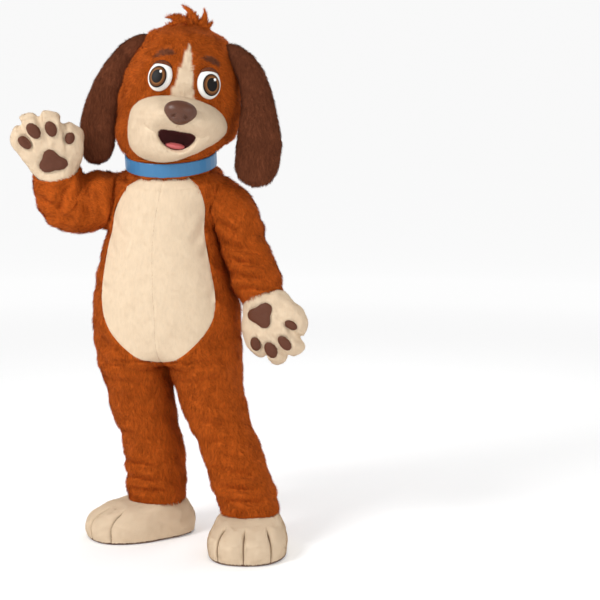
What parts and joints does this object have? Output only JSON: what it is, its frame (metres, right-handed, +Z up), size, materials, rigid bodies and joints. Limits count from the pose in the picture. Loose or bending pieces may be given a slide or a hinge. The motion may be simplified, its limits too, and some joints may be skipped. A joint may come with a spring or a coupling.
{
  "type": "dog mascot costume",
  "caption": "Full-body plush dog costume: one suit with a cream belly, paw gloves, shoe covers, stuffed tail, collar and a hollow head with hanging ears.",
  "frame": {"origin": "between the wearer's shoulders, 1.28 m above the floor the soles stand on, where the suit hangs", "axes": "+Z up the body, +X to the wearer's left, -Y to the front"},
  "size_m": [0.9936, 0.7727, 1.8665],
  "materials": {
    "rust_fur": "short rust-coloured pile",
    "cream_fur": "short cream pile",
    "dark_fur": "short dark brown pile",
    "paw_pad": "soft brown imitation leather",
    "sole": "brown sole sheet",
    "nose": "brown, smooth",
    "mouth_lining": "dark red-brown cloth",
    "tongue": "red felt",
    "eye_white": "white, glossy",
    "iris": "brown, glossy",
    "collar": "blue satin"
  },
  "bodies": {
    "root": {"back_left": "rust_fur", "back_right": "rust_fur", "belly_left": "cream_fur", "belly_right": "cream_fur", "collar": "collar", "ear_left": "dark_fur", "ear_right": "dark_fur", "eye_left": "eye_white", "eye_right": "eye_white", "finger_pad_left_1": "paw_pad", "finger_pad_left_2": "paw_pad", "finger_pad_left_3": "paw_pad", "finger_pad_left_4": "paw_pad", "finger_pad_right_1": "paw_pad", "finger_pad_right_2": "paw_pad", "finger_pad_right_3": "paw_pad", "finger_pad_right_4": "paw_pad", "foot_left": "cream_fur", "foot_right": "cream_fur", "front_left": "rust_fur", "front_right": "rust_fur", "glove_left": "cream_fur", "glove_right": "cream_fur", "head_left": "rust_fur", "head_right": "rust_fur", "iris_left": "iris", "iris_right": "iris", "mouth_lining": "mouth_lining", "muzzle": "cream_fur", "nose": "nose", "palm_pad_left": "paw_pad", "palm_pad_right": "paw_pad", "sleeve_left": "rust_fur", "sleeve_right": "rust_fur", "sole_left": "sole", "sole_right": "sole", "tail": "rust_fur", "tail_tip": "cream_fur", "tongue": "tongue", "tuft": "rust_fur"}
  },
  "joints": []
}
